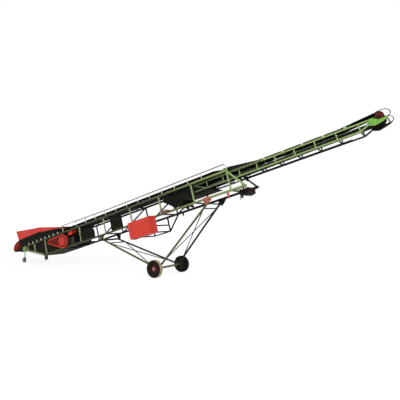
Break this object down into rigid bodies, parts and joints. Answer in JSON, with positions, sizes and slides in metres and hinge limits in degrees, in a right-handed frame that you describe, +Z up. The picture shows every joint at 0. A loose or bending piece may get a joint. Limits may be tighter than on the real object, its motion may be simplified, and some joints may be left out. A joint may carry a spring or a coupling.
{
  "type": "mobile grain conveyor",
  "caption": "Wheeled inclined belt conveyor for grain: truss frame with sliding boom, loading hopper, raising legs, main wheels and tail casters.",
  "frame": {"origin": "centre of the footprint of the bounding box, on the floor", "axes": "+X towards the discharge head, +Y to the left seen from the tail, +Z up"},
  "size_m": [14.9481, 1.666, 4.5831],
  "materials": {
    "frame_green": "dark green semi-gloss paint",
    "boom_green": "lighter green semi-gloss paint",
    "dark_paint": "near-black semi-gloss paint",
    "red_paint": "orange-red gloss paint",
    "brown_red_paint": "brownish red paint",
    "belt_rubber": "matt black conveyor belting",
    "roller_steel": "turned steel",
    "rail_grey": "grey paint",
    "tyre_black": "matt black tyre",
    "caster_rubber": "solid black rubber"
  },
  "bodies": {
    "main_frame": {"top_chord_right": "frame_green", "top_chord_left": "frame_green", "side_frame_right": "frame_green", "side_frame_left": "frame_green", "frame_cross_members": "frame_green", "boom_rails": "frame_green", "tail_pan": "dark_paint", "carriage_stops": "red_paint", "tail_frame": "dark_paint", "tail_drum": "roller_steel", "drive_drum": "roller_steel", "front_drum": "roller_steel", "bend_roller": "roller_steel", "main_belt": "belt_rubber", "idler_frames": "frame_green", "idler_rollers": "roller_steel", "hopper": "red_paint", "hopper_skirt": "dark_paint", "tail_guard": "red_paint", "hand_rail": "rail_grey", "drive_guard": "red_paint", "drive_motor": "red_paint", "gear_housing": "dark_paint", "side_panel": "dark_paint", "discharge_hood": "dark_paint", "front_box": "dark_paint", "boom_front_rollers": "roller_steel", "hanging_frame": "dark_paint", "control_cabinet": "red_paint", "winch": "brown_red_paint", "caster_beam": "boom_green"},
    "boom": {"boom_frame": "boom_green", "boom_side_right": "boom_green", "boom_side_left": "boom_green", "boom_tail_box": "dark_paint", "boom_rear_rollers": "roller_steel", "boom_idler_frames": "boom_green", "boom_idler_rollers": "roller_steel", "boom_belt": "belt_rubber", "head_drum": "brown_red_paint", "boom_tail_drum": "roller_steel", "head_plates": "boom_green", "head_bearings": "dark_paint", "head_bars": "dark_paint"},
    "front_legs": {"front_legs": "frame_green", "axle": "frame_green"},
    "wheel_right": {"tyre_right": "tyre_black", "rim_right": "brown_red_paint"},
    "wheel_left": {"tyre_left": "tyre_black", "rim_left": "brown_red_paint"},
    "rear_legs": {"rear_legs": "frame_green"},
    "leg_carriage": {"leg_carriage": "brown_red_paint"},
    "caster_fork_right": {"caster_fork_right": "boom_green"},
    "caster_wheel_right": {"caster_wheel_right": "caster_rubber"},
    "caster_fork_left": {"caster_fork_left": "boom_green"},
    "caster_wheel_left": {"caster_wheel_left": "caster_rubber"},
    "cabinet_door": {"cabinet_door": "red_paint"}
  },
  "joints": [
    {"name": "boom_slide", "type": "slide", "parent": "main_frame", "child": "boom", "axis": [0.9636, 0, 0.2672], "range_m": [-3, 0]},
    {"name": "front_legs_pivot", "type": "hinge", "parent": "main_frame", "child": "front_legs", "pos_m": [-2.05635, 0, 1.09101], "axis": [0, -1, 0], "range_deg": [-4, 4]},
    {"name": "wheel_right_spin", "type": "hinge", "parent": "front_legs", "child": "wheel_right", "pos_m": [0.62463, -0.758, 0.286], "axis": [0, 1, 0], "continuous": true},
    {"name": "wheel_left_spin", "type": "hinge", "parent": "front_legs", "child": "wheel_left", "pos_m": [0.62463, 0.758, 0.286], "axis": [0, 1, 0], "continuous": true},
    {"name": "rear_legs_pivot", "type": "hinge", "parent": "front_legs", "child": "rear_legs", "pos_m": [0.62463, 0, 0.286], "axis": [0, -1, 0], "range_deg": [-8.4, 8.4]},
    {"name": "leg_carriage_slide", "type": "slide", "parent": "main_frame", "child": "leg_carriage", "axis": [0.9636, 0, 0.2672], "range_m": [-0.23, 0.23]},
    {"name": "caster_right_swivel", "type": "hinge", "parent": "main_frame", "child": "caster_fork_right", "pos_m": [-6.50615, -0.537, 0.57821], "axis": [0, 0, 1], "continuous": true},
    {"name": "caster_right_spin", "type": "hinge", "parent": "caster_fork_right", "child": "caster_wheel_right", "pos_m": [-6.55115, -0.537, 0.095], "axis": [0, 1, 0], "continuous": true},
    {"name": "caster_left_swivel", "type": "hinge", "parent": "main_frame", "child": "caster_fork_left", "pos_m": [-6.50615, 0.537, 0.57821], "axis": [0, 0, 1], "continuous": true},
    {"name": "caster_left_spin", "type": "hinge", "parent": "caster_fork_left", "child": "caster_wheel_left", "pos_m": [-6.55115, 0.537, 0.095], "axis": [0, 1, 0], "continuous": true},
    {"name": "cabinet_door_hinge", "type": "hinge", "parent": "main_frame", "child": "cabinet_door", "pos_m": [-0.44424, -0.799, 1.4447], "axis": [0.2672, 0, -0.9636], "range_deg": [0, 110]}
  ],
  "couplings": [
    {"joint": "rear_legs_pivot", "follows": "front_legs_pivot", "ratio": -2.0591},
    {"joint": "leg_carriage_slide", "follows": "front_legs_pivot", "m_per_rad": 3.1134}
  ]
}
